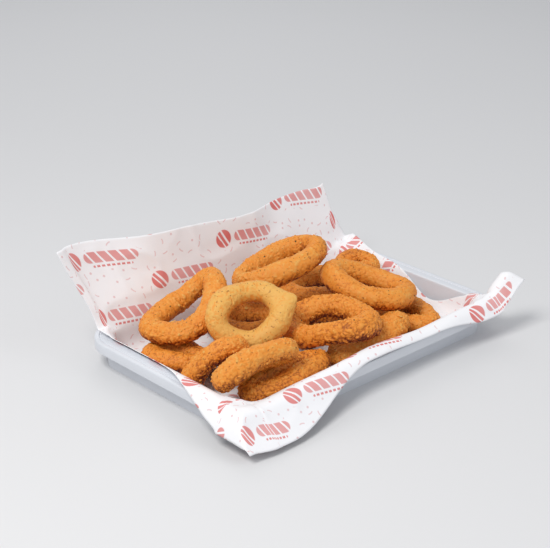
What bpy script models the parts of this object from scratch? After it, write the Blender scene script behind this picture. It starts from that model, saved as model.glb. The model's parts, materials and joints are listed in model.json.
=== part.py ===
"""Onion rings side: a loose heap of fried onion rings on a printed greaseproof liner in a shallow
white tray. Lengths below are in millimetres and are turned into metres when the meshes are made.
X runs along the tray's long side, Y along its short side, and Z is up from the tray's foot."""

import bmesh
import bpy
import numpy as np
from mathutils import Vector
from mathutils.bvhtree import BVHTree

MM = 0.001

# Tray
TRAY_L = 250.0
TRAY_W = 164.0
TRAY_H = 21.0
RIM_W = 11.0
LIP_H = 7.5
CORNER_R = 26.0
FOOT_INSET = 8.6
FLOOR_T = 2.6
CORNER_STEPS = 6

# Liner sheet
SHEET_T = 0.8
SHEET_CLEAR = 0.9
OUTER_STEPS = 7
FLOOR_STEPS = 11

# Rings
GAP = 0.3
AROUND = 22
SECTION = 8
RISE = 0.25


def clear_scene():
    for obj in list(bpy.data.objects):
        bpy.data.objects.remove(obj, do_unlink=True)


def new_collection(name):
    group = bpy.data.collections.new(name)
    bpy.context.scene.collection.children.link(group)
    return group


def material(name, colour, roughness):
    made = bpy.data.materials.new(name)
    made.use_nodes = True
    shader = made.node_tree.nodes["Principled BSDF"]
    shader.inputs["Base Color"].default_value = (*colour, 1.0)
    shader.inputs["Roughness"].default_value = roughness
    made.diffuse_color = (*colour, 1.0)
    return made


def object_from(name, mesh_builder, group, look):
    """An object from a bmesh in millimetres, with its faces turned outwards."""
    bmesh.ops.recalc_face_normals(mesh_builder, faces=mesh_builder.faces)
    mesh = bpy.data.meshes.new(name)
    mesh_builder.to_mesh(mesh)
    mesh.transform(((MM, 0, 0, 0), (0, MM, 0, 0), (0, 0, MM, 0), (0, 0, 0, 1)))
    obj = bpy.data.objects.new(name, mesh)
    group.objects.link(obj)
    obj.data.materials.append(look)
    return obj


# ---------------------------------------------------------------- tray


def rounded_outline(inset):
    """Corner-rounded rectangle of the tray, moved inwards by inset, counter-clockwise."""
    radius = max(CORNER_R - inset, 3.0)
    reach_x = TRAY_L / 2 - inset - radius
    reach_y = TRAY_W / 2 - inset - radius
    points = []
    for corner, (sx, sy) in enumerate(((1, 1), (-1, 1), (-1, -1), (1, -1))):
        for step in range(CORNER_STEPS + 1):
            angle = np.pi / 2 * (corner + step / CORNER_STEPS)
            x = sx * reach_x + radius * np.cos(angle)
            y = sy * reach_y + radius * np.sin(angle)
            points.append((x, y))
    return points


def tray_profile():
    """(inset, height) pairs up the outside, over the rim and down the inside."""
    lip_bottom = TRAY_H - LIP_H
    return (
        (FOOT_INSET, 0.0),
        (FOOT_INSET - 1.2, 1.2),
        (FOOT_INSET - 1.9, TRAY_H - 3.2),
        (2.6, TRAY_H - 3.2),
        (2.0, lip_bottom),
        (0.0, lip_bottom),
        (0.0, TRAY_H - 1.0),
        (1.0, TRAY_H),
        (RIM_W - 0.8, TRAY_H),
        (RIM_W, TRAY_H - 0.9),
        (RIM_W + 2.2, FLOOR_T + 2.4),
        (RIM_W + 4.8, FLOOR_T),
    )


def build_tray(group, look):
    builder = bmesh.new()
    loops = []
    for inset, height in tray_profile():
        loops.append([builder.verts.new((x, y, height)) for x, y in rounded_outline(inset)])
    count = len(loops[0])
    for lower, upper in zip(loops, loops[1:]):
        for i in range(count):
            j = (i + 1) % count
            builder.faces.new((lower[i], lower[j], upper[j], upper[i]))
    builder.faces.new(loops[0][::-1])
    builder.faces.new(loops[-1])
    return object_from("tray", builder, group, look)


# ---------------------------------------------------------------- liner


def smooth(value, low, high):
    part = np.clip((value - low) / (high - low), 0.0, 1.0)
    return part * part * (3 - 2 * part)


def along(knots):
    """Distance measured along a path of (out, up) knots that starts at the tray's middle."""
    reached = [0.0]
    for (a, b), (c, d) in zip(knots, knots[1:]):
        reached.append(reached[-1] + float(np.hypot(c - a, d - b)))
    return reached


def follow(distance, knots):
    """(out, up) at a distance along a path."""
    reached = along(knots)
    out = float(np.interp(distance, reached, [k[0] for k in knots]))
    up = float(np.interp(distance, reached, [k[1] for k in knots]))
    return out, up


FLOOR_Z = FLOOR_T + SHEET_CLEAR + SHEET_T
WALL_X = TRAY_L / 2 - RIM_W
WALL_Y = TRAY_W / 2 - RIM_W
RIM_Z = TRAY_H + SHEET_CLEAR + SHEET_T
# Paths of the sheet from the middle of the floor out over each side of the tray.
FRONT = ((0, FLOOR_Z), (WALL_Y - 8, FLOOR_Z), (WALL_Y - 4.4, FLOOR_Z + 4), (WALL_Y - 2.2, RIM_Z - 2),
         (WALL_Y + 5, RIM_Z + 3.5), (WALL_Y + 12, RIM_Z + 2), (WALL_Y + 19, RIM_Z - 8), (WALL_Y + 31, 3.5))
LEFT = ((0, FLOOR_Z), (WALL_X - 9, FLOOR_Z), (WALL_X - 4.5, FLOOR_Z + 5), (WALL_X - 1.5, RIM_Z - 2),
        (WALL_X + 5, RIM_Z + 2.8), (WALL_X + 12, RIM_Z + 2), (WALL_X + 18, RIM_Z - 8), (WALL_X + 22, 3.5))
BACK = ((0, FLOOR_Z), (WALL_Y - 8, FLOOR_Z), (WALL_Y - 4.4, FLOOR_Z + 4), (WALL_Y - 2.2, RIM_Z - 2),
        (WALL_Y + 3, RIM_Z + 8), (WALL_Y + 10, RIM_Z + 28), (WALL_Y + 18, RIM_Z + 60))
RIGHT = ((0, FLOOR_Z), (WALL_X - 9, FLOOR_Z), (WALL_X - 4.5, FLOOR_Z + 5), (WALL_X - 1.5, RIM_Z - 2),
         (WALL_X + 6, RIM_Z + 4), (WALL_X + 24, RIM_Z + 14), (WALL_X + 40, RIM_Z + 26))
CORNER_X = TRAY_L / 2 - CORNER_R
CORNER_Y = TRAY_W / 2 - CORNER_R
CORNER_REACH = (CORNER_R - RIM_W - 8.0, CORNER_R - RIM_W - 5.0, CORNER_R - RIM_W - 2.5, CORNER_R - RIM_W + 2)
CORNER_RISE = (FLOOR_Z, FLOOR_Z + 4, RIM_Z - 2, RIM_Z + 2)
CREST_FRONT = along(FRONT)[4]
CREST_LEFT = along(LEFT)[4]
BACK_END = along(BACK)[6]
RIGHT_WALL = along(RIGHT)[3]


def front_reach(u):
    return CREST_FRONT + 35 - 25 * smooth(u, -100, -15) + 11 * smooth(u, 50, 125)


def back_reach(u):
    return BACK_END - 3 - 13 * smooth(u, -110, 20) - 2 * smooth(u, 90, 125)


def left_reach(v):
    return CREST_LEFT - 2 + 27 * smooth(-v, -10, 85)


def right_reach(v):
    dip = np.exp(-(((v + 26) / 26) ** 2))
    over = 9 * np.exp(-(((v - 70) / 24) ** 2))
    return RIGHT_WALL + 5 - 17 * dip + 34 * smooth(-v, 74, 112) + over - 16 * smooth(v, 85, 140)


def spread(marks, counts):
    """Distances from the first mark to the last, with a number of equal steps between marks."""
    found = [marks[0]]
    for low, high, count in zip(marks, marks[1:], counts):
        found += [low + (high - low) * (k + 1) / count for k in range(count)]
    return found


def sheet_grid():
    """Rows of (u, v) distances on the sheet, with lines kept on its bends at the foot of each wall."""
    left_marks = [-d for d in along(LEFT)[3:0:-1]]
    right_marks = along(RIGHT)[1:3]
    front_marks = [-d for d in along(FRONT)[3:0:-1]]
    back_marks = along(BACK)[1:4]
    counts = (OUTER_STEPS, 1, 1, FLOOR_STEPS, 1, 1, OUTER_STEPS)
    middle_v = spread([-CREST_FRONT, *front_marks, *back_marks, BACK_END - 20], counts)
    grid = []
    for k in range(len(spread([0.0] * 8, counts))):
        line = []
        for m, v_guess in enumerate(middle_v):
            across = [-left_reach(v_guess), *left_marks, *right_marks]
            u = spread([*across, (across[-1] + right_reach(v_guess)) / 2, right_reach(v_guess)], counts)[k]
            v = spread([-front_reach(u), *front_marks, *back_marks, back_reach(u)], counts)[m]
            line.append((u, v))
        grid.append(line)
    return grid


def sheet_point(u, v):
    out_x, up_x = follow(abs(u), LEFT if u < 0 else RIGHT)
    out_y, up_y = follow(abs(v), FRONT if v < 0 else BACK)
    over_left = u < -CREST_LEFT
    over_front = v < -CREST_FRONT
    if over_front and u > 0:
        height = up_y + max(up_x - RIM_Z - 4, 0.0) + 9 * smooth(u, 85, 135) + 6 * smooth(u, 122, 145)
    elif over_front or over_left:
        height = min(up_y if over_front else 99.0, up_x if over_left else 99.0)
    else:
        height = max(up_x, up_y)
    lean = smooth(v, 85, 160)
    x = np.copysign(out_x, u) * (1 + (0.17 if u < 0 else -0.04) * lean)
    y = np.copysign(out_y, v)
    # Slow waves where the sheet stands free above the back rim.
    y += lean * (4.0 * np.sin(u * 0.035 + 5.0) + 2.0 * np.sin(u * 0.08 + 9.0))
    height += lean * (1.5 * np.sin(u * 0.06 + 8.5) + 11.0 * smooth(u, 100, 126))
    # The front crest rises and falls a little along the rim.
    # In the tray's rounded corners the sheet rises sooner, to stay inside the curved wall.
    turn = np.hypot(max(abs(x) - CORNER_X, 0.0), max(abs(y) - CORNER_Y, 0.0))
    if abs(x) > CORNER_X and abs(y) > CORNER_Y and not (over_left or over_front) and turn < CORNER_R + 3:
        height = max(height, float(np.interp(turn, CORNER_REACH, CORNER_RISE)))
    near_crest = np.exp(-(((v + CREST_FRONT) / 14) ** 2))
    height += near_crest * (2.0 * np.exp(-(((u + 20) / 28) ** 2)) + 0.8 * np.sin(u * 0.08 + 1.0))
    return x, y, height


def build_liner(group, look):
    builder = bmesh.new()
    rows = [[builder.verts.new(sheet_point(u, v)) for u, v in line] for line in sheet_grid()]
    for a, b in zip(rows, rows[1:]):
        for j in range(len(a) - 1):
            builder.faces.new((a[j], b[j], b[j + 1], a[j + 1]))
    bmesh.ops.recalc_face_normals(builder, faces=builder.faces)
    middle = rows[len(rows) // 2][len(rows[0]) // 2].link_faces[0]
    if middle.normal.z < 0:
        bmesh.ops.reverse_faces(builder, faces=builder.faces)
    mesh = bpy.data.meshes.new("paper_liner")
    builder.to_mesh(mesh)
    mesh.transform(((MM, 0, 0, 0), (0, MM, 0, 0), (0, 0, MM, 0), (0, 0, 0, 1)))
    obj = bpy.data.objects.new("paper_liner", mesh)
    group.objects.link(obj)
    obj.data.materials.append(look)
    thick = obj.modifiers.new("thickness", "SOLIDIFY")
    thick.thickness = SHEET_T * MM
    thick.offset = -1.0
    thick.use_even_offset = True
    return obj


# ---------------------------------------------------------------- rings

# name: (x, y, starting height), half length, half width, band height, band thickness,
#       lean, lean heading, heading of the long axis, saddle bow, twist bow; angles in degrees.
RINGS = {
    "ring_12": ((-90, 21, 16), 18.0, 9.0, 15, 15, 3, -35, -57, -0.5, 0.0),
    "ring_16": ((-19, 30, 12), 23.0, 17.0, 16, 16, 0, -80, -35, 0.5, 0.0),
    "ring_15": ((58, 36, 14), 25.0, 19.0, 16, 16, 4, 158, -38, 0.5, 0.0),
    "ring_08": ((72, -36, 15), 22.5, 12.5, 15, 15, 2, -100, -99, 0.5, 0.0),
    "ring_11": ((-59, -50, 13), 31.0, 9.0, 16, 15, 6, 124, -1, -0.5, 0.0),
    "ring_07": ((19, -51, 13), 28.0, 9.0, 16, 15, 17, 124, -7, 0.5, -1.5),
    "ring_14": ((-57, -6, 13), 21.0, 12.5, 13, 13, 7, -39, 55, 0.0, 0.0),
    "ring_09": ((23, -10, 13), 22.0, 16.5, 13, 13, 5, 87, -31, 0.5, 0.0),
    "ring_13": ((-91, -17, 23), 19.0, 9.0, 15, 13, 42, 105, -54, -2.0, -2.0),
    "ring_10": ((-84, -49, 31), 25.0, 9.0, 16, 16, 43, 91, -15, -1.5, 0.5),
    "ring_06": ((-5, -38, 29), 27.5, 19.5, 17, 15, 11, 151, -62, -1.5, -2.5),
    "ring_05": ((81, 21, 30), 11.5, 9.0, 12, 12, 8, -122, -52, -1.0, -0.5),
    "ring_04": ((51, -19, 39), 27.0, 18.0, 17, 17, 14, -46, -54, 1.0, -0.5),
    "ring_03": ((14, 33, 43), 31.0, 21.5, 17, 14, 21, 126, -15, 0.0, 0.5),
    "ring_02": ((-67, 38, 40), 30.0, 20.0, 15, 15, 24, 158, 5, 2.5, -3.0),
    "ring_01": ((-53, -9, 46), 22.0, 17.0, 16, 16, 47, -120, -12, 2.0, -2.5),
}


def ring_frame(lean, heading, long_heading):
    """Unit vectors of the ring's long axis, short axis and normal."""
    tip = np.radians(lean)
    turn = np.radians(heading)
    normal = Vector((np.sin(tip) * np.cos(turn), np.sin(tip) * np.sin(turn), np.cos(tip)))
    way = np.radians(long_heading)
    flat = Vector((np.cos(way), np.sin(way), 0.0))
    long_axis = (flat - normal * flat.dot(normal)).normalized()
    return long_axis, normal.cross(long_axis), normal


def ring_points(spec, grow):
    """Vertices of a ring about its own centre, by loop around and then around the section."""
    place, half_l, half_w, band_h, band_t, lean, heading, long_heading, bow, twist = spec
    long_axis, short_axis, normal = ring_frame(lean, heading, long_heading)
    phase = 0.13 * place[0] + 0.07 * place[1]
    points = []
    for i in range(AROUND):
        a = 2 * np.pi * i / AROUND
        wobble = 1 + 0.035 * np.sin(3 * a + phase) + 0.02 * np.sin(5 * a + 2 * phase)
        lift = bow * np.cos(2 * a) + twist * np.sin(2 * a)
        middle = long_axis * (half_l * wobble * np.cos(a))
        middle += short_axis * (half_w * wobble * np.sin(a)) + normal * lift
        outward = long_axis * (np.cos(a) * half_w) + short_axis * (np.sin(a) * half_l)
        outward.normalize()
        fat = 1 + 0.06 * np.sin(2 * a + 1.3 * phase) + 0.04 * np.sin(4 * a + phase)
        for j in range(SECTION):
            b = 2 * np.pi * (j + 0.5) / SECTION
            points.append(
                middle
                + outward * ((band_t / 2 * fat + grow) * np.cos(b))
                + normal * ((band_h / 2 * fat + grow) * np.sin(b))
            )
    return points


def ring_faces():
    faces = []
    for i in range(AROUND):
        for j in range(SECTION):
            k, m = (i + 1) % AROUND, (j + 1) % SECTION
            faces.append((i * SECTION + j, k * SECTION + j, k * SECTION + m, i * SECTION + m))
    return faces


def world_tree(points, faces):
    triangles = []
    for a, b, c, d in faces:
        triangles += [(a, b, c), (a, c, d)]
    return BVHTree.FromPolygons(points, triangles, all_triangles=True)


def tree_of(obj):
    graph = bpy.context.evaluated_depsgraph_get()
    mesh = obj.evaluated_get(graph).to_mesh()
    mesh.calc_loop_triangles()
    points = [v.co / MM for v in mesh.vertices]
    triangles = [tuple(t.vertices) for t in mesh.loop_triangles]
    return BVHTree.FromPolygons(points, triangles, all_triangles=True)


def resting_height(spec, below):
    """Height of the ring's centre: up from its start until it clears all below, then down to rest."""
    x, y, height = spec[0]
    shape = ring_points(spec, GAP)
    faces = ring_faces()

    def clear_at(level):
        tree = world_tree([p + Vector((x, y, level)) for p in shape], faces)
        return not any(tree.overlap(other) for other in below)

    while not clear_at(height):
        height += RISE
    while clear_at(height - RISE):
        height -= RISE
    return height


def build_rings(group, look, below):
    faces = ring_faces()
    for name, spec in RINGS.items():
        height = resting_height(spec, below)
        centre = Vector((spec[0][0], spec[0][1], height))
        points = [p + centre for p in ring_points(spec, 0.0)]
        builder = bmesh.new()
        verts = [builder.verts.new(p) for p in points]
        for face in faces:
            builder.faces.new([verts[k] for k in face])
        object_from(name, builder, group, look)
        below.append(world_tree(points, faces))
        print(f"{name} rests at {height:.2f}, raised {height - spec[0][2]:.2f}")


def main():
    clear_scene()
    group = new_collection("onion_rings_side")
    tray = build_tray(group, material("tray_white", (0.86, 0.88, 0.92), 0.35))
    liner = build_liner(group, material("greaseproof_paper", (0.93, 0.92, 0.92), 0.6))
    bpy.context.view_layer.update()
    below = [tree_of(tray), tree_of(liner)]
    build_rings(group, material("golden_crumb", (0.72, 0.42, 0.14), 0.75), below)


main()
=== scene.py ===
"""Onion rings side: crumbed rings heaped on a printed greaseproof sheet in a shallow white tray."""

import json
import math

import bmesh
import bpy
import numpy as np
from bpy.props import FloatProperty, FloatVectorProperty, IntProperty, PointerProperty
from mathutils import Euler, Matrix, Vector

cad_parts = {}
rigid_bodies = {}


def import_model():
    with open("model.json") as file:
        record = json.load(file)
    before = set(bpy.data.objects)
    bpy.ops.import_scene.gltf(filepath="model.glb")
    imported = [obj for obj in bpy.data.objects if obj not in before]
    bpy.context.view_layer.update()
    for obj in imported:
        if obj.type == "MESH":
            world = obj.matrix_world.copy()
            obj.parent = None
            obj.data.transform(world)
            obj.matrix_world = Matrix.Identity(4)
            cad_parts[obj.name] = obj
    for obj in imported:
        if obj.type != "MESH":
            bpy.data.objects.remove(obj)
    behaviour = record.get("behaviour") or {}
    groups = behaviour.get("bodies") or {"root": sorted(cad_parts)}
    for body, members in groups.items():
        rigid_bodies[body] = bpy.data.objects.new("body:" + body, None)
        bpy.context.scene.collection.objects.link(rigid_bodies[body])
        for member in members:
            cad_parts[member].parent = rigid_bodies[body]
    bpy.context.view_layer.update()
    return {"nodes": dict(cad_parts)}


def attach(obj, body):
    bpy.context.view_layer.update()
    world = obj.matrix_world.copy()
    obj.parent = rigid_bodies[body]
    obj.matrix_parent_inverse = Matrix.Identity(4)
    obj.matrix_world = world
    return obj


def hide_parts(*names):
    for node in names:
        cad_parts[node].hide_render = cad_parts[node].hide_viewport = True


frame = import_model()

bl_info = {
    "name": "Onion Rings Side",
    "version": (1, 0, 0),
    "blender": (4, 5, 0),
    "location": "View3D > Sidebar > Onion Rings",
    "description": "Builds a side of fried onion rings on a lined tray",
    "category": "Add Mesh",
}

MM = 0.001
SEED = 41

# ---------------------------------------------------------------- shader maths


class Val:
    """A socket that adds Math nodes when it is used in an expression."""

    def __init__(self, graph, socket):
        self.graph = graph
        self.socket = socket

    def _op(self, operation, *values):
        made = self.graph.tree.nodes.new("ShaderNodeMath")
        made.operation = operation
        for socket, value in zip(made.inputs, values):
            if isinstance(value, Val):
                self.graph.tree.links.new(value.socket, socket)
            else:
                socket.default_value = value
        return Val(self.graph, made.outputs[0])

    def __add__(self, other):
        return self._op("ADD", self, other)

    def __radd__(self, other):
        return self._op("ADD", other, self)

    def __sub__(self, other):
        return self._op("SUBTRACT", self, other)

    def __rsub__(self, other):
        return self._op("SUBTRACT", other, self)

    def __mul__(self, other):
        return self._op("MULTIPLY", self, other)

    def __rmul__(self, other):
        return self._op("MULTIPLY", other, self)

    def __truediv__(self, other):
        return self._op("DIVIDE", self, other)

    def __rtruediv__(self, other):
        return self._op("DIVIDE", other, self)

    def above(self, limit):
        return self._op("GREATER_THAN", self, limit)

    def below(self, limit):
        return self._op("LESS_THAN", self, limit)

    def most(self, other):
        return self._op("MAXIMUM", self, other)

    def size(self):
        return self._op("ABSOLUTE", self)

    def floor(self):
        return self._op("FLOOR", self)

    def part(self):
        return self._op("FRACT", self)

    def sine(self):
        return self._op("SINE", self)

    def cosine(self):
        return self._op("COSINE", self)

    def root(self):
        return self._op("SQRT", self)

    def ease(self, low, high):
        """0 below low, 1 above high, smooth between."""
        made = self.graph.node(
            "ShaderNodeMapRange",
            {"Value": self, "From Min": low, "From Max": high},
            interpolation_type="SMOOTHSTEP",
        )
        return self.graph.out(made, "Result")


class Graph:
    """A material's node tree, with one Principled shader."""

    def __init__(self, name, **constants):
        self.material = bpy.data.materials.new(name)
        self.material.use_nodes = True
        self.tree = self.material.node_tree
        self.shader = self.tree.nodes["Principled BSDF"]
        for label, value in constants.items():
            self.shader.inputs[label.replace("_", " ")].default_value = value

    def node(self, kind, inputs=None, stops=None, **settings):
        made = self.tree.nodes.new(kind)
        for label, value in settings.items():
            setattr(made, label, value)
        if stops:
            ramp = made.color_ramp
            while len(ramp.elements) < len(stops):
                ramp.elements.new(0.5)
            for element, (place, colour) in zip(ramp.elements, stops):
                element.position = place
                element.color = (*colour, 1.0)
        for label, value in (inputs or {}).items():
            socket = made.inputs[label]
            if isinstance(value, Val):
                self.tree.links.new(value.socket, socket)
            else:
                socket.default_value = value
        return made

    def out(self, node, label):
        return Val(self, node.outputs[label])

    def object_point(self):
        return self.out(self.node("ShaderNodeTexCoord"), "Object")

    def noise(self, scale, detail=3.0, rough=0.55, where=None):
        where = where or self.object_point()
        made = self.node(
            "ShaderNodeTexNoise", {"Vector": where, "Scale": scale, "Detail": detail, "Roughness": rough}
        )
        return self.out(made, "Fac")

    def value(self, name):
        return self.out(self.node("ShaderNodeAttribute", attribute_name=name), "Fac")

    def mix(self, factor, first, second):
        """Colour mix; first and second are colours or sockets."""
        made = self.node("ShaderNodeMix", data_type="RGBA")
        for socket, value in ((made.inputs[0], factor), (made.inputs[6], first), (made.inputs[7], second)):
            if isinstance(value, Val):
                self.tree.links.new(value.socket, socket)
            elif socket is made.inputs[0]:
                socket.default_value = value
            else:
                socket.default_value = (*value, 1.0)
        return Val(self, made.outputs[2])

    def ramp(self, value, stops):
        return self.out(self.node("ShaderNodeValToRGB", {"Fac": value}, stops=stops), "Color")

    def feed(self, label, value):
        self.tree.links.new(value.socket, self.shader.inputs[label])

    def bump(self, height, distance, strength=1.0):
        made = self.node("ShaderNodeBump", {"Height": height, "Distance": distance, "Strength": strength})
        self.feed("Normal", self.out(made, "Normal"))


# ---------------------------------------------------------------- fields over space


def hashed(cells, seed):
    """Values from 0 to 1 for integer cells of shape (n, 3)."""
    x, y, z = (cells[:, k].astype(np.int64) for k in range(3))
    h = (x * 73856093) ^ (y * 19349663) ^ (z * 83492791) ^ (seed * 2654435761)
    h &= 0xFFFFFFFF
    h = ((h ^ (h >> 15)) * 2246822519) & 0xFFFFFFFF
    h = ((h ^ (h >> 13)) * 3266489917) & 0xFFFFFFFF
    h ^= h >> 16
    return h / 4294967295.0


def rolling(points, size, seed):
    """Smooth noise from -1 to 1 with features of about that size."""
    q = points / size
    base = np.floor(q).astype(np.int64)
    f = q - base
    f = f * f * (3 - 2 * f)
    total = np.zeros(len(points))
    for corner in range(8):
        step = np.array([corner & 1, (corner >> 1) & 1, (corner >> 2) & 1])
        weight = np.prod(np.where(step == 1, f, 1 - f), axis=1)
        total += weight * hashed(base + step, seed)
    return total * 2 - 1


def granules(points, cell, seed, small=0.35, large=0.78):
    """(height, tone) of crumbs scattered through space; a height is 0 between crumbs and up to 1."""
    q = points / cell
    base = np.floor(q).astype(np.int64)
    height = np.zeros(len(points))
    tone = np.full(len(points), 0.5)
    for dx in (-1, 0, 1):
        for dy in (-1, 0, 1):
            for dz in (-1, 0, 1):
                near = base + np.array([dx, dy, dz])
                centre = near + np.stack([hashed(near, seed + k) for k in (1, 2, 3)], axis=1)
                radius = small + (large - small) * hashed(near, seed + 4)
                away = q - centre
                away[:, 2] *= 1.0 + 0.7 * (hashed(near, seed + 6) - 0.5)
                away[:, 0] *= 1.0 + 0.7 * (hashed(near, seed + 7) - 0.5)
                gap = np.linalg.norm(away, axis=1) / radius
                rise = np.sqrt(np.clip(1 - gap * gap, 0, 1)) * (0.5 + 0.5 * hashed(near, seed + 5))
                better = rise > height
                height[better] = rise[better]
                tone[better] = hashed(near, seed + 8)[better]
    return height, tone


# ---------------------------------------------------------------- meshes


def new_piece(name, mesh, look, replaced=()):
    """A finished piece of the object, riding on the one body."""
    obj = bpy.data.objects.new(name, mesh)
    bpy.context.scene.collection.objects.link(obj)
    mesh.materials.clear()
    mesh.materials.append(look)
    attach(obj, "root")
    if replaced:
        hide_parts(*replaced)
    return obj


def mesh_from(builder, name, smooth=True):
    mesh = bpy.data.meshes.new(name)
    builder.to_mesh(mesh)
    builder.free()
    mesh.polygons.foreach_set("use_smooth", [smooth] * len(mesh.polygons))
    return mesh


def subdivided(mesh, levels):
    """The mesh with Catmull-Clark subdivision applied."""
    carrier = bpy.data.objects.new("carrier", mesh)
    bpy.context.scene.collection.objects.link(carrier)
    modifier = carrier.modifiers.new("fine", "SUBSURF")
    modifier.levels = levels
    modifier.render_levels = levels
    graph = bpy.context.evaluated_depsgraph_get()
    fine = bpy.data.meshes.new_from_object(carrier.evaluated_get(graph))
    bpy.data.objects.remove(carrier)
    return fine


def coordinates(mesh):
    found = np.empty(len(mesh.vertices) * 3)
    mesh.vertices.foreach_get("co", found)
    return found.reshape(-1, 3)


def normals(mesh):
    found = np.empty(len(mesh.vertices) * 3, dtype=np.float32)
    mesh.vertex_normals.foreach_get("vector", found)
    return found.reshape(-1, 3).astype(float)


def write_coordinates(mesh, points):
    mesh.vertices.foreach_set("co", points.reshape(-1))
    mesh.update()


def write_value(mesh, name, values):
    layer = mesh.attributes.new(name, "FLOAT", "POINT")
    layer.data.foreach_set("value", np.asarray(values, dtype=np.float32))


def tuned(rng, low, high):
    return low + (high - low) * rng.random()


# ---------------------------------------------------------------- materials


def crumb_look(name, settings, lift):
    """Fried crumb coating; lift makes a ring paler or darker."""
    graph = Graph(name, Roughness=0.5, Specular_IOR_Level=0.35, Subsurface_Weight=0.0)
    relief = graph.value("relief")
    tone = graph.value("tone")
    # This attribute darkens the crust: painted shade where the ring faces down, plus real uneven browning.
    toast = graph.value("toast")
    broad = graph.noise(55.0, 2.0)
    middle = graph.noise(260.0, 3.0)
    fine = graph.noise(1400.0, 3.0, 0.7)
    # Painted shade and highlight: the hollows between crumbs (low relief) are coloured darker and the
    # crumb tops paler; the tone and noise terms are real uneven browning.
    level = 0.60 + lift + 0.46 * (relief - 0.42) + 0.16 * (tone - 0.5)
    level = level + 0.40 * (broad - 0.5) + 0.20 * (middle - 0.5) + 0.30 * (fine - 0.5) - 0.46 * toast
    deep, golden, pale = settings.deep, settings.golden, settings.pale
    mid = [0.5 * a + 0.5 * b for a, b in zip(deep, golden)]
    stops = (
        (0.0, [c * 0.38 for c in deep]),
        (0.16, deep),
        (0.32, mid),
        (0.50, golden),
        (0.80, [0.65 * a + 0.35 * b for a, b in zip(golden, pale)]),
        (1.0, pale),
    )
    colour = graph.ramp(level, stops)
    burnt = (graph.noise(520.0, 1.0).ease(0.66, 0.72)) * 0.55
    colour = graph.mix(burnt, colour, [c * 0.7 for c in deep])
    graph.feed("Base Color", colour)
    graph.feed("Roughness", 0.42 + 0.25 * fine)
    graph.bump(fine + 0.6 * graph.noise(3200.0, 2.0), 0.00022, 0.7)
    return graph.material


def herb_look(settings):
    graph = Graph("dried_herb", Roughness=0.7)
    shade = graph.noise(700.0)
    graph.feed("Base Color", graph.mix(shade, [c * 0.5 for c in settings.herb], settings.herb))
    graph.bump(graph.noise(2500.0), 0.0001, 0.5)
    return graph.material


def tray_look(settings):
    """Satin white melamine with very fine handling marks."""
    graph = Graph("white_melamine", Roughness=0.3, Specular_IOR_Level=0.5, Coat_Weight=0.15)
    cloud = graph.noise(14.0, 3.0)
    speck = graph.noise(900.0, 2.0)
    colour = graph.mix(cloud * 0.35, settings.colour, [c * 0.95 for c in settings.colour])
    graph.feed("Base Color", colour)
    graph.feed("Roughness", 0.26 + 0.10 * cloud + 0.05 * speck)
    graph.bump(speck, 0.00003, 0.25)
    return graph.material


# ---------------------------------------------------------------- print on the liner

PRINT_TURN = math.radians(7.5)
MOTIF_STEP = 115.0
ROW_STEP = 20.3
MOTIF_AT = (-127.0, 116.0)


def capsule(x, y, centre_x, centre_y, half, radius):
    """Distance in millimetres outside a bar with round ends."""
    dx = ((x - centre_x).size() - half).most(0.0)
    dy = y - centre_y
    return (dx * dx + dy * dy).root() - radius


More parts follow.
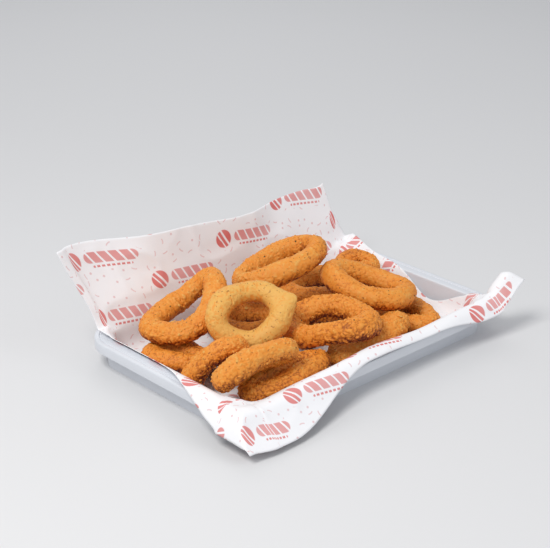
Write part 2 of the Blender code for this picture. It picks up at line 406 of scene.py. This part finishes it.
def paper_look(settings):
    """White greaseproof paper, printed with discs, bars and small confetti marks."""
    graph = Graph("printed_greaseproof", Roughness=0.5, Specular_IOR_Level=0.35)
    sheet_map = graph.out(graph.node("ShaderNodeUVMap", uv_map="sheet"), "UV")
    split = graph.node("ShaderNodeSeparateXYZ", {"Vector": sheet_map})
    u = graph.out(split, "X") * 1000.0
    v = graph.out(split, "Y") * 1000.0
    across = u * math.cos(PRINT_TURN) - v * math.sin(PRINT_TURN)
    up = u * math.sin(PRINT_TURN) + v * math.cos(PRINT_TURN)
    row = ((up - MOTIF_AT[1]) / ROW_STEP + 0.5).floor()
    y = up - MOTIF_AT[1] - row * ROW_STEP
    turned = (row * 0.5).part() * MOTIF_STEP
    x = ((across - MOTIF_AT[0] + turned + 10.0) / MOTIF_STEP).part() * MOTIF_STEP - 10.0
    reach = (x * x + y * y).root()
    edge = 0.35
    disc = 1.0 - (reach - 6.6).ease(-edge, edge)
    stripe = ((x * 0.8 + y * 0.6 - 1.2).size() - 0.8).ease(-edge, edge)
    second = ((x * 0.8 + y * 0.6 + 2.4).size() - 0.5).ease(-edge, edge)
    disc = disc * stripe * second
    bar = 1.0 - capsule(x, y, 28.0, 1.4, 14.5, 3.9).ease(-edge, edge)
    bar = bar * (((x + 0.55 * y) / 7.3).part() - 0.5).size().below(0.39)
    dashes = 1.0 - capsule(x, y, 28.0, -4.9, 13.0, 0.75).ease(-edge, edge)
    dashes = dashes * (x / 3.4).part().below(0.66)
    red = disc.most(dashes)
    busy = (1.0 - (reach - 8.6).ease(-0.5, 0.5)).most(
        1.0 - capsule(x, y, 28.0, -0.5, 15.5, 7.0).ease(-0.5, 0.5)
    )
    # Confetti: one small mark in some of the cells, a dot or a short dash at its own angle.
    cell = 7.4
    joined = graph.node("ShaderNodeCombineXYZ", {"X": across / cell, "Y": up / cell, "Z": 0.0})
    place = graph.out(joined, "Vector")
    voronoi = graph.node(
        "ShaderNodeTexVoronoi",
        {"Vector": place, "Scale": 1.0, "Randomness": 0.8},
        voronoi_dimensions="2D",
        feature="F1",
    )
    chosen = graph.node("ShaderNodeSeparateColor", {"Color": graph.out(voronoi, "Color")})
    pick, angle, kind = (graph.out(chosen, c) for c in ("Red", "Green", "Blue"))
    middle = graph.node("ShaderNodeSeparateXYZ", {"Vector": graph.out(voronoi, "Position")})
    dx = across - graph.out(middle, "X") * cell
    dy = up - graph.out(middle, "Y") * cell
    swing = angle * 6.283
    long_way = dx * swing.cosine() + dy * swing.sine()
    cross = dy * swing.cosine() - dx * swing.sine()
    bowed = cross + 0.10 * long_way * long_way
    dash = 1.0 - capsule(long_way, bowed, 0.0, 0.0, 1.6, 0.42).ease(-0.25, 0.25)
    spot = 1.0 - ((dx * dx + dy * dy).root() - 0.85).ease(-0.25, 0.25)
    mark = dash * kind.below(0.6) + spot * kind.above(0.6)
    mark = mark * pick.above(0.30) * (1.0 - busy)
    fade = 0.75 + 0.5 * (graph.noise(30.0, 2.0) - 0.5)
    paper = graph.mix(graph.noise(18.0, 3.0), settings.paper, [c * 0.965 for c in settings.paper])
    colour = graph.mix(mark * 0.75, paper, settings.confetti)
    colour = graph.mix(bar * fade, colour, settings.bar)
    colour = graph.mix(red * (fade + 0.1), colour, settings.red)
    graph.feed("Base Color", colour)
    fibre = graph.noise(1100.0, 3.0, 0.7)
    graph.feed("Roughness", 0.46 + 0.12 * graph.noise(120.0))
    graph.bump(fibre, 0.00003, 0.5)
    return graph.material


# ---------------------------------------------------------------- tray

TRAY_L, TRAY_W, TRAY_H = 250.0, 164.0, 21.0
RIM_W, LIP_H, CORNER_R, FOOT_INSET, FLOOR_T = 11.0, 7.5, 26.0, 8.6, 2.6

# (inset, height, fillet) up the outside, over the rim and down the inside.
TRAY_SECTION = (
    (FOOT_INSET, 0.0, 0.9),
    (FOOT_INSET - 1.9, TRAY_H - 3.2, 0.7),
    (2.2, TRAY_H - 3.2, 0.7),
    (1.7, TRAY_H - LIP_H, 0.35),
    (0.0, TRAY_H - LIP_H, 0.5),
    (0.0, TRAY_H, 1.5),
    (3.0, TRAY_H, 0.3),
    (3.5, TRAY_H - 0.75, 0.3),
    (4.5, TRAY_H - 0.75, 0.3),
    (5.0, TRAY_H, 0.3),
    (RIM_W, TRAY_H, 1.2),
    (RIM_W + 2.2, FLOOR_T + 1.6, 2.2),
    (RIM_W + 6.5, FLOOR_T, 1.5),
)


def filleted(section, steps=4):
    """The section's points with each corner turned into a short arc."""
    points = [section[0][:2]]
    for before, here, after in zip(section, section[1:], section[2:]):
        a, b, c = (np.array(p[:2], dtype=float) for p in (before, here, after))
        to_a, to_c = a - b, c - b
        cut = min(here[2], 0.45 * np.linalg.norm(to_a), 0.45 * np.linalg.norm(to_c))
        start = b + to_a / np.linalg.norm(to_a) * cut
        end = b + to_c / np.linalg.norm(to_c) * cut
        for k in range(steps + 1):
            t = k / steps
            points.append(tuple((1 - t) ** 2 * start + 2 * t * (1 - t) * b + t * t * end))
    points.append(section[-1][:2])
    return points


def build_tray(settings):
    builder = bmesh.new()
    section = filleted(TRAY_SECTION)
    # The first outline is a rectangle whose corners are bevelled round.
    inset = section[0][0]
    bmesh.ops.create_grid(builder, x_segments=1, y_segments=1, size=1.0)
    for vert in builder.verts:
        vert.co.x *= TRAY_L / 2 - inset
        vert.co.y *= TRAY_W / 2 - inset
    bmesh.ops.bevel(
        builder, geom=builder.verts[:], offset=CORNER_R - inset, segments=14, profile=0.5,
        affect="VERTICES", offset_type="OFFSET", material=-1,
    )
    bmesh.ops.delete(builder, geom=builder.faces[:], context="FACES_ONLY")
    loop = builder.edges[:]
    centre_x = TRAY_L / 2 - CORNER_R
    centre_y = TRAY_W / 2 - CORNER_R
    # Each vertex keeps its own direction from the middle of its corner.
    aims = {}
    for vert in builder.verts:
        cx = math.copysign(centre_x, vert.co.x)
        cy = math.copysign(centre_y, vert.co.y)
        way = Vector((vert.co.x - cx, vert.co.y - cy, 0.0)).normalized()
        aims[vert] = (cx, cy, way)
    first = list(builder.verts)
    bottom = bmesh.ops.contextual_create(builder, geom=loop)["faces"]
    loop = [e for e in builder.edges]
    for inset, height in section[1:]:
        made = bmesh.ops.extrude_edge_only(builder, edges=loop)
        new_verts = [g for g in made["geom"] if isinstance(g, bmesh.types.BMVert)]
        loop = [g for g in made["geom"] if isinstance(g, bmesh.types.BMEdge) and not any(
            v in aims for v in g.verts
        )]
        moved = {}
        for vert in new_verts:
            partner = next(e.other_vert(vert) for e in vert.link_edges if e.other_vert(vert) in aims)
            cx, cy, way = aims[partner]
            radius = CORNER_R - inset
            vert.co = Vector((cx + way.x * radius, cy + way.y * radius, height))
            moved[vert] = aims[partner]
        aims = moved
    bmesh.ops.contextual_create(builder, geom=loop)
    bmesh.ops.recalc_face_normals(builder, faces=builder.faces)
    bmesh.ops.scale(builder, vec=(MM, MM, MM), verts=builder.verts)
    mesh = mesh_from(builder, "serving_tray")
    mesh.set_sharp_from_angle(angle=math.radians(50))
    return new_piece("serving_tray", mesh, tray_look(settings), ("tray",))


# ---------------------------------------------------------------- liner

SHEET_TOP = 1.7
FLOOR_Z = FLOOR_T + SHEET_TOP
WALL_X = TRAY_L / 2 - RIM_W
WALL_Y = TRAY_W / 2 - RIM_W
RIM_Z = TRAY_H + SHEET_TOP
# Paths of the sheet, as (out, up), from the middle of the floor over each side of the tray.
FRONT = ((0, FLOOR_Z), (WALL_Y - 8, FLOOR_Z), (WALL_Y - 4.4, FLOOR_Z + 4), (WALL_Y - 2.2, RIM_Z - 2),
         (WALL_Y + 5, RIM_Z + 3.5), (WALL_Y + 12, RIM_Z + 2), (WALL_Y + 19, RIM_Z - 8), (WALL_Y + 31, 3.5))
LEFT = ((0, FLOOR_Z), (WALL_X - 9, FLOOR_Z), (WALL_X - 4.5, FLOOR_Z + 5), (WALL_X - 1.5, RIM_Z - 2),
        (WALL_X + 5, RIM_Z + 2.8), (WALL_X + 12, RIM_Z + 2), (WALL_X + 18, RIM_Z - 8), (WALL_X + 22, 3.5))
BACK = ((0, FLOOR_Z), (WALL_Y - 8, FLOOR_Z), (WALL_Y - 4.4, FLOOR_Z + 4), (WALL_Y - 2.2, RIM_Z - 2),
        (WALL_Y + 3, RIM_Z + 8), (WALL_Y + 10, RIM_Z + 28), (WALL_Y + 18, RIM_Z + 60))
RIGHT = ((0, FLOOR_Z), (WALL_X - 9, FLOOR_Z), (WALL_X - 4.5, FLOOR_Z + 5), (WALL_X - 1.5, RIM_Z - 2),
         (WALL_X + 6, RIM_Z + 4), (WALL_X + 24, RIM_Z + 14), (WALL_X + 40, RIM_Z + 26))
CORNER_X = TRAY_L / 2 - CORNER_R
CORNER_Y = TRAY_W / 2 - CORNER_R
CORNER_WALL = CORNER_R - RIM_W
CORNER_REACH = (CORNER_WALL - 8.0, CORNER_WALL - 5.0, CORNER_WALL - 2.5, CORNER_WALL + 2)
CORNER_RISE = (FLOOR_Z, FLOOR_Z + 4, RIM_Z - 2, RIM_Z + 2)
EASE = 2.2


def smooth(value, low, high):
    part = np.clip((value - low) / (high - low), 0.0, 1.0)
    return part * part * (3 - 2 * part)


def bell(value, width):
    return np.exp(-((value / width) ** 2))


def along(knots):
    reached = [0.0]
    for (a, b), (c, d) in zip(knots, knots[1:]):
        reached.append(reached[-1] + math.hypot(c - a, d - b))
    return np.array(reached)


def follow(distance, knots):
    """(out, up) at distances along a path, with its corners eased."""
    reached = along(knots)
    out = np.zeros_like(distance)
    up = np.zeros_like(distance)
    for shift, weight in ((-1.0, 0.2), (-0.5, 0.2), (0.0, 0.2), (0.5, 0.2), (1.0, 0.2)):
        at = np.clip(distance + shift * EASE, 0, None)
        over = np.clip(at - reached[-1], 0, None)
        (ax, az), (bx, bz) = knots[-2:]
        length = math.hypot(bx - ax, bz - az)
        out += weight * (np.interp(at, reached, [k[0] for k in knots]) + over * (bx - ax) / length)
        up += weight * (np.interp(at, reached, [k[1] for k in knots]) + over * (bz - az) / length)
    return out, up


CREST_FRONT = along(FRONT)[4]
CREST_LEFT = along(LEFT)[4]
BACK_END = along(BACK)[6]
RIGHT_WALL = along(RIGHT)[3]


def front_reach(u):
    corner = 3 * smooth(-u, 124, 146)
    return CREST_FRONT + 35 - 25 * smooth(u, -100, -15) + 11 * smooth(u, 50, 125) - corner


def back_reach(u):
    return BACK_END - 3 - 13 * smooth(u, -110, 20) - 2 * smooth(u, 90, 125)


def left_reach(v):
    return CREST_LEFT - 2 + 27 * smooth(-v, -10, 85) - 4 * smooth(-v, 112, 138)


def right_reach(v):
    dip = bell(v + 26, 26)
    over = 9 * bell(v - 70, 24)
    flap = 27 * np.clip((-v - 72) / 48, 0.0, 1.0) ** 1.35
    return RIGHT_WALL + 5 - 17 * dip + flap + over - 16 * smooth(v, 85, 140)


def sheet_points(u, v):
    """Points of the sheet's top face in millimetres, for arrays of distances u and v on the flat sheet."""
    right_x, right_z = follow(np.abs(u), RIGHT)
    left_x, left_z = follow(np.abs(u), LEFT)
    out_x = np.where(u < 0, left_x, right_x)
    up_x = np.where(u < 0, left_z, right_z)
    front_y, front_z = follow(np.abs(v), FRONT)
    back_y, back_z = follow(np.abs(v), BACK)
    out_y = np.where(v < 0, front_y, back_y)
    up_y = np.where(v < 0, front_z, back_z)
    over_left = u < -CREST_LEFT
    over_front = v < -CREST_FRONT
    hang = up_y + np.clip(up_x - RIM_Z - 4, 0.0, None)
    hang = hang + 9 * smooth(u, 85, 135) + 8 * smooth(u, 118, 142)
    lower = np.minimum(np.where(over_front, up_y, 99.0), np.where(over_left, up_x, 99.0))
    lying = np.where(over_front | over_left, lower, np.maximum(up_x, up_y))
    height = np.where(over_front & (u > 0), hang, lying)
    lean = smooth(v, 85, 160)
    x = np.copysign(out_x, u) * (1 + np.where(u < 0, 0.17, -0.04) * lean)
    y = np.copysign(out_y, v)
    y = y + lean * (4.0 * np.sin(u * 0.035 + 5.0) + 2.0 * np.sin(u * 0.08 + 9.0))
    height = height + lean * (1.5 * np.sin(u * 0.06 + 8.5) + 11.0 * smooth(u, 100, 126))
    turn = np.hypot(np.clip(np.abs(x) - CORNER_X, 0, None), np.clip(np.abs(y) - CORNER_Y, 0, None))
    cornered = (np.abs(x) > CORNER_X) & (np.abs(y) > CORNER_Y) & (turn < CORNER_R + 3)
    cornered &= ~(over_left | over_front)
    rise = np.interp(turn, CORNER_REACH, CORNER_RISE)
    height = np.where(cornered, np.maximum(height, rise), height)
    near_crest = bell(v + CREST_FRONT, 14)
    waves = 2.0 * bell(u + 20, 28) + 0.8 * np.sin(u * 0.08 + 1.0) - 2.2 * bell(u + 92, 42)
    height = height + near_crest * waves
    return np.stack([x, y, height], axis=1)


def crease_field(u, v):
    """Low folds and crumples of the paper, in millimetres along its normal."""
    flat = np.stack([u, v, np.zeros_like(u)], axis=1)
    soft = rolling(flat, 46.0, 3) * 1.1 + rolling(flat, 21.0, 5) * 0.5
    ridge = 1 - np.abs(rolling(flat + 7, 30.0, 9))
    sharp = 1 - np.abs(rolling(flat * np.array([1.0, 0.55, 1.0]), 13.0, 13))
    return soft + 1.1 * ridge**4 + 0.35 * sharp**3


def build_liner(settings, steps_u, steps_v):
    builder = bmesh.new()
    bmesh.ops.create_grid(builder, x_segments=steps_u, y_segments=steps_v, size=0.5)
    builder.verts.ensure_lookup_table()
    grid = np.array([vert.co[:2] for vert in builder.verts]) + 0.5
    s, t = grid[:, 0], grid[:, 1]
    u = (s - 0.5) * 260
    v = (t - 0.5) * 230
    for _ in range(6):
        u = -left_reach(v) + s * (left_reach(v) + right_reach(v))
        v = -front_reach(u) + t * (front_reach(u) + back_reach(u))
    points = sheet_points(u, v)
    for vert, point in zip(builder.verts, points):
        vert.co = Vector(point)
    layer = builder.loops.layers.uv.new("sheet")
    for face in builder.faces:
        for loop in face.loops:
            k = loop.vert.index
            loop[layer].uv = (u[k] * MM, v[k] * MM)
    bmesh.ops.smooth_vert(
        builder, verts=builder.verts, factor=0.5, use_axis_x=True, use_axis_y=True, use_axis_z=True
    )
    builder.normal_update()
    free = np.clip((points[:, 2] - RIM_Z - 1.0) / 14.0, 0.10, 1.0)
    hanging = (u < -CREST_LEFT - 4) | (v < -CREST_FRONT - 6)
    free = np.where(hanging, 0.45, free)
    lift = crease_field(u, v) * free
    for vert, rise in zip(builder.verts, lift):
        vert.co += vert.normal * rise
    bmesh.ops.scale(builder, vec=(MM, MM, MM), verts=builder.verts)
    if sum(face.normal.z for face in builder.faces) < 0:
        bmesh.ops.reverse_faces(builder, faces=builder.faces)
    mesh = mesh_from(builder, "greaseproof_sheet")
    look = paper_look(settings)
    liner = new_piece("greaseproof_sheet", mesh, look, ("paper_liner",))
    thick = liner.modifiers.new("thickness", "SOLIDIFY")
    thick.thickness = settings.thickness
    thick.offset = -1.0
    width = float((left_reach(v) + right_reach(v)).mean()) * MM
    length = float((front_reach(u) + back_reach(u)).mean()) * MM
    return liner


# ---------------------------------------------------------------- rings

# node: (paler or darker, crumb height, smooth bready swell)
RINGS = {
    "ring_01": (0.44, 0.45, 0.7),
    "ring_02": (0.01, 0.95, 0.9),
    "ring_03": (0.06, 0.80, 1.0),
    "ring_04": (-0.02, 0.55, 0.9),
    "ring_05": (-0.10, 0.80, 0.6),
    "ring_06": (-0.05, 1.05, 0.9),
    "ring_07": (0.05, 1.10, 0.9),
    "ring_08": (0.00, 0.85, 0.8),
    "ring_09": (-0.14, 0.85, 0.8),
    "ring_10": (0.10, 0.85, 0.8),
    "ring_11": (-0.14, 1.10, 0.8),
    "ring_12": (-0.06, 0.85, 0.8),
    "ring_13": (-0.04, 0.85, 0.8),
    "ring_14": (-0.12, 0.85, 0.8),
    "ring_15": (-0.05, 0.85, 0.8),
    "ring_16": (-0.12, 0.85, 0.8),
}
HERBED = ("ring_02", "ring_03", "ring_04", "ring_06", "ring_07", "ring_10", "ring_11")
# How far the coating of a ring closes in on its hole, in millimetres.
PLUMP = {"ring_02": 2.4, "ring_03": 1.0, "ring_06": 1.4}
# The lobe where the top ring's two ends were pressed together: middle, way out, reach, height.
LOBE = (Vector((-31.0, -24.0, 53.0)), Vector((0.78, -0.541, 0.313)), 7.0, 7.5)


def ring_base(node):
    """The CAD ring as a welded mesh of four-sided faces."""
    builder = bmesh.new()
    builder.from_mesh(frame["nodes"][node].data)
    bmesh.ops.remove_doubles(builder, verts=builder.verts, dist=0.00002)
    bmesh.ops.join_triangles(
        builder, faces=builder.faces, angle_face_threshold=0.9, angle_shape_threshold=0.9
    )
    bmesh.ops.scale(builder, vec=(1 / MM, 1 / MM, 1 / MM), verts=builder.verts)
    return mesh_from(builder, node + "_base")


def build_ring(node, look, number):
    lift, rough, swell = RINGS[node]
    mesh = subdivided(ring_base(node), 4)
    points = coordinates(mesh)
    out = normals(mesh)
    seed = SEED + 17 * number
    shift = np.array([37.0 * number, 11.0 * number, 5.0 * number])
    bent = points + 1.1 * np.stack([rolling(points + shift, 5.0, seed + k) for k in (1, 2, 3)], axis=1)
    slow, quick = rolling(points + shift, 15.0, seed), rolling(points + shift, 6.5, seed + 9)
    body = swell * (0.55 * slow + 0.40 * quick)
    big, big_tone = granules(bent + shift, 2.8, seed + 20)
    mid, mid_tone = granules(bent - shift, 1.5, seed + 40)
    small, small_tone = granules(points + shift, 0.95, seed + 60)
    patch = np.clip(0.75 + 0.6 * rolling(points + shift, 9.0, seed + 80), 0.25, 1.25)
    crumbs = rough * patch * (0.90 * big * (big_tone > 0.30) + 0.75 * mid + 0.36 * small)
    moved = points + out * (0.35 + body + crumbs - 0.42 * rough)[:, None]
    if node in PLUMP:
        inward = points.mean(axis=0) - points
        inward /= np.linalg.norm(inward, axis=1)[:, None]
        moved = moved + out * (PLUMP[node] * np.clip((out * inward).sum(axis=1), 0, 1))[:, None]
    if node == "ring_01":
        middle, way, reach, height = LOBE
        gap = np.linalg.norm(points - np.array(middle), axis=1)
        moved = moved + np.outer(height * np.exp(-((gap / reach) ** 2)), np.array(way))
    write_coordinates(mesh, moved * MM)
    # Crumb height; the crust shader turns it into painted shade in the hollows and paler crumb tops.
    relief = np.clip((0.65 * big + 0.75 * mid + 0.45 * small) / 1.25, 0, 1)
    tone = np.where(big * 0.95 > mid * 0.6, big_tone, 0.5 * mid_tone + 0.5 * small_tone)
    # Painted shade: the crust is coloured darker where it faces down, under the ring; the slow noise added
    # to it is real uneven browning.
    painted_underside_shade = smooth(-out[:, 2], -0.45, 0.75)
    toast = np.clip(0.95 * painted_underside_shade + 0.35 * rolling(points + shift, 22.0, seed + 90), 0, 1)
    write_value(mesh, "relief", relief)
    write_value(mesh, "tone", tone)
    write_value(mesh, "toast", toast)
    mesh.polygons.foreach_set("use_smooth", [True] * len(mesh.polygons))
    return new_piece("crumbed_" + node, mesh, look, (node,))


def scatter(name, spots, rng, sizes, flat, tones, look):
    """Small uneven chips, each stuck on a spot (point, normal)."""
    builder = bmesh.new()
    tone_layer = builder.verts.layers.float.new("tone")
    for (point, normal), tone in zip(spots, tones):
        made = bmesh.ops.create_icosphere(builder, subdivisions=1, radius=1.0)["verts"]
        size = tuned(rng, *sizes)
        stretch = Vector((tuned(rng, 0.7, 1.5), tuned(rng, 0.7, 1.2), tuned(rng, *flat)))
        spin = Matrix.Rotation(tuned(rng, 0, 6.283), 3, "Z")
        face = Vector(normal).to_track_quat("Z", "Y").to_matrix()
        tilt = Euler((tuned(rng, -0.6, 0.6), tuned(rng, -0.6, 0.6), 0.0)).to_matrix()
        for vert in made:
            jitter = 1 + 0.45 * (rng.random() - 0.5)
            local = Vector([c * s * jitter for c, s in zip(vert.co, stretch)]) * size
            vert.co = (Vector(point) + face @ (tilt @ (spin @ local))) * MM
            vert[tone_layer] = tone
    bmesh.ops.recalc_face_normals(builder, faces=builder.faces)
    mesh = mesh_from(builder, name, smooth=False)
    write_value(mesh, "relief", [0.75] * len(mesh.vertices))
    # The loose bits get no painted underside shade.
    write_value(mesh, "toast", [0.0] * len(mesh.vertices))
    return new_piece(name, mesh, look)


def spots_on(rings, rng, each, sink, keep):
    """Random (point, normal) places on the rings' crusts, in millimetres."""
    found = []
    for ring in rings:
        mesh = ring.data
        points = coordinates(mesh) / MM
        out = normals(mesh)
        taken = rng.integers(0, len(points), each)
        for k in taken:
            if keep(out[k]):
                found.append((points[k] - out[k] * sink, out[k]))
    return found


# ---------------------------------------------------------------- settings


def colour_property(name, text, value):
    return FloatVectorProperty(
        name=name, description=text, subtype="COLOR", size=3, default=value, min=0.0, max=1.0
    )


class ONIONRINGS_PG_tray(bpy.types.PropertyGroup):
    colour: colour_property("Tray", "Colour of the melamine", (0.70, 0.725, 0.775))


class ONIONRINGS_PG_liner(bpy.types.PropertyGroup):
    paper: colour_property("Paper", "Colour of the bare paper", (0.93, 0.93, 0.955))
    red: colour_property("Red", "Colour of the printed discs and dashes", (0.70, 0.115, 0.10))
    bar: colour_property("Bar", "Colour of the printed bars", (0.72, 0.16, 0.145))
    confetti: colour_property("Confetti", "Colour of the small printed marks", (0.78, 0.52, 0.53))
    thickness: FloatProperty(
        name="Thickness", description="Thickness of the sheet", default=0.0003, min=0.0001, max=0.0008,
        unit="LENGTH",
    )
    steps: IntProperty(
        name="Steps", description="Faces along each side of the sheet", default=150, min=40, max=220
    )


class ONIONRINGS_PG_rings(bpy.types.PropertyGroup):
    # Deep is the brown of the painted shade in the crust's hollows and under the rings, and of the burnt
    # specks.
    deep: colour_property("Deep", "Brown in the crust's hollows", (0.27, 0.052, 0.006))
    golden: colour_property("Golden", "Main colour of the crust", (0.80, 0.272, 0.030))
    pale: colour_property("Pale", "Lightest crumbs", (0.79, 0.435, 0.105))
    herb: colour_property("Herb", "Dried herb specks", (0.035, 0.05, 0.012))
    chips: IntProperty(
        name="Loose crumbs", description="Crumbs stuck on each ring", default=170, min=0, max=400
    )


class ONIONRINGS_PG_stage(bpy.types.PropertyGroup):
    floor: colour_property("Floor", "Colour of the floor and backdrop", (0.72, 0.72, 0.73))
    key: FloatProperty(
        name="Key", description="Power of the main light", default=9.5, min=0.0, unit="POWER"
    )
    fill: FloatProperty(
        name="Fill", description="Power of the side light", default=2.0, min=0.0, unit="POWER"
    )
    sky: FloatProperty(name="Sky", description="Brightness of the surroundings", default=0.52, min=0.0)


# ---------------------------------------------------------------- operators


class ONIONRINGS_OT_tray(bpy.types.Operator):
    """Add the white serving tray"""

    bl_idname = "onionrings.tray"
    bl_label = "Serving Tray"

    def execute(self, context):
        build_tray(context.scene.onionrings_tray)
        return {"FINISHED"}


class ONIONRINGS_OT_liner(bpy.types.Operator):
    """Add the printed greaseproof sheet"""

    bl_idname = "onionrings.liner"
    bl_label = "Greaseproof Sheet"

    def execute(self, context):
        settings = context.scene.onionrings_liner
        build_liner(settings, settings.steps, settings.steps)
        return {"FINISHED"}


class ONIONRINGS_OT_rings(bpy.types.Operator):
    """Add the crumbed rings"""

    bl_idname = "onionrings.rings"
    bl_label = "Crumbed Rings"

    def execute(self, context):
        settings = context.scene.onionrings_rings
        for number, node in enumerate(RINGS):
            look = crumb_look("crust_" + node, settings, RINGS[node][0])
            build_ring(node, look, number)
        return {"FINISHED"}


class ONIONRINGS_OT_crumbs(bpy.types.Operator):
    """Add the loose crumbs and herb specks on the rings"""

    bl_idname = "onionrings.crumbs"
    bl_label = "Loose Crumbs"

    def execute(self, context):
        settings = context.scene.onionrings_rings
        rng = np.random.default_rng(SEED)
        rings = [bpy.data.objects["crumbed_" + node] for node in RINGS]
        rough = [ring for ring in rings if RINGS[ring.name[8:]][1] > 0.6]
        spots = spots_on(rough, rng, settings.chips, 0.15, lambda n: n[2] > -0.5)
        look = crumb_look("loose_crumb", settings, 0.06)
        tones = rng.random(len(spots))
        scatter("loose_crumbs", spots, rng, (0.45, 1.05), (0.5, 0.9), tones, look)
        flakes = spots_on(rough, rng, 7, -0.2, lambda n: n[2] > 0.1)
        look = crumb_look("pale_flake", settings, 0.34)
        tones = rng.random(len(flakes))
        scatter("pale_flakes", flakes, rng, (1.0, 1.9), (0.25, 0.45), tones, look)
        herbed = [ring for ring in rings if ring.name[8:] in HERBED]
        specks = spots_on(herbed, rng, 22, -0.1, lambda n: n[2] > -0.1)
        scatter("herb_specks", specks, rng, (0.28, 0.6), (0.25, 0.4), [0.5] * len(specks),
                herb_look(settings))
        return {"FINISHED"}


class ONIONRINGS_OT_stage(bpy.types.Operator):
    """Add the floor, the lights and the camera"""

    bl_idname = "onionrings.stage"
    bl_label = "Stage"

    def execute(self, context):
        build_stage(context.scene.onionrings_stage)
        return {"FINISHED"}


class ONIONRINGS_PT_panel(bpy.types.Panel):
    """The pieces of the side and their settings"""

    bl_idname = "ONIONRINGS_PT_panel"
    bl_label = "Onion Rings Side"
    bl_space_type = "VIEW_3D"
    bl_region_type = "UI"
    bl_category = "Onion Rings"

    def draw(self, context):
        scene = context.scene
        groups = (
            (scene.onionrings_tray, (ONIONRINGS_OT_tray,)),
            (scene.onionrings_liner, (ONIONRINGS_OT_liner,)),
            (scene.onionrings_rings, (ONIONRINGS_OT_rings, ONIONRINGS_OT_crumbs)),
            (scene.onionrings_stage, (ONIONRINGS_OT_stage,)),
        )
        for settings, operators in groups:
            box = self.layout.box()
            for name in settings.__annotations__:
                box.prop(settings, name)
            for operator in operators:
                box.operator(operator.bl_idname)


# ---------------------------------------------------------------- stage

CAMERA_AT = Vector((-0.6427, -0.6665, 0.4563))
CAMERA_AIM = Vector((0.0719, 0.0994, 0.0))


def area_light(name, place, aim, size, power, colour=(1.0, 1.0, 1.0)):
    data = bpy.data.lights.new(name, "AREA")
    data.shape = "DISK"
    data.size = size
    data.energy = power
    data.color = colour
    lamp = bpy.data.objects.new(name, data)
    lamp.location = place
    lamp.rotation_euler = (Vector(aim) - Vector(place)).to_track_quat("-Z", "Y").to_euler()
    bpy.context.scene.collection.objects.link(lamp)


def build_stage(settings):
    scene = bpy.context.scene
    camera = bpy.data.cameras.new("camera")
    camera.lens = 97.2
    camera.sensor_width = 36.0
    camera.sensor_fit = "HORIZONTAL"
    camera.clip_start = 0.05
    seat = bpy.data.objects.new("camera", camera)
    seat.location = CAMERA_AT
    seat.rotation_euler = (CAMERA_AIM - CAMERA_AT).to_track_quat("-Z", "Y").to_euler()
    scene.collection.objects.link(seat)
    scene.camera = seat
    scene.view_settings.view_transform = "Standard"

    builder = bmesh.new()
    bmesh.ops.create_grid(builder, x_segments=1, y_segments=1, size=6.0)
    mesh = mesh_from(builder, "floor", smooth=False)
    floor = bpy.data.objects.new("floor", mesh)
    scene.collection.objects.link(floor)
    graph = Graph("pale_floor", Roughness=0.9, Specular_IOR_Level=0.1)
    shade = graph.noise(2.0)
    graph.feed("Base Color", graph.mix(shade, settings.floor, [c * 0.985 for c in settings.floor]))
    mesh.materials.append(graph.material)

    area_light("key", (-0.75, -0.15, 1.05), (0, 0, 0.02), 0.55, settings.key, (1.0, 0.985, 0.96))
    area_light("fill", (0.55, -0.95, 0.7), (0, 0, 0.02), 0.9, settings.fill, (0.95, 0.97, 1.0))
    area_light("rear", (0.6, 0.9, 0.9), (0, 0, 0.02), 0.8, settings.fill, (1.0, 1.0, 1.0))
    world = bpy.data.worlds.new("studio")
    scene.world = world
    world.use_nodes = True
    world.node_tree.nodes["Background"].inputs["Color"].default_value = (0.95, 0.97, 1.0, 1.0)
    world.node_tree.nodes["Background"].inputs["Strength"].default_value = settings.sky


# ---------------------------------------------------------------- registration

GROUPS = {
    "onionrings_tray": ONIONRINGS_PG_tray,
    "onionrings_liner": ONIONRINGS_PG_liner,
    "onionrings_rings": ONIONRINGS_PG_rings,
    "onionrings_stage": ONIONRINGS_PG_stage,
}
OPERATORS = (
    ONIONRINGS_OT_tray,
    ONIONRINGS_OT_liner,
    ONIONRINGS_OT_rings,
    ONIONRINGS_OT_crumbs,
    ONIONRINGS_OT_stage,
)


def register():
    for made in (*GROUPS.values(), *OPERATORS, ONIONRINGS_PT_panel):
        bpy.utils.register_class(made)
    for name, group in GROUPS.items():
        setattr(bpy.types.Scene, name, PointerProperty(type=group))


def unregister():
    for name in GROUPS:
        delattr(bpy.types.Scene, name)
    for made in (ONIONRINGS_PT_panel, *reversed(OPERATORS), *GROUPS.values()):
        bpy.utils.unregister_class(made)


def main():
    register()
    bpy.ops.onionrings.stage()
    bpy.ops.onionrings.tray()
    bpy.ops.onionrings.liner()
    bpy.ops.onionrings.rings()
    bpy.ops.onionrings.crumbs()


if __name__ == "__main__":
    main()
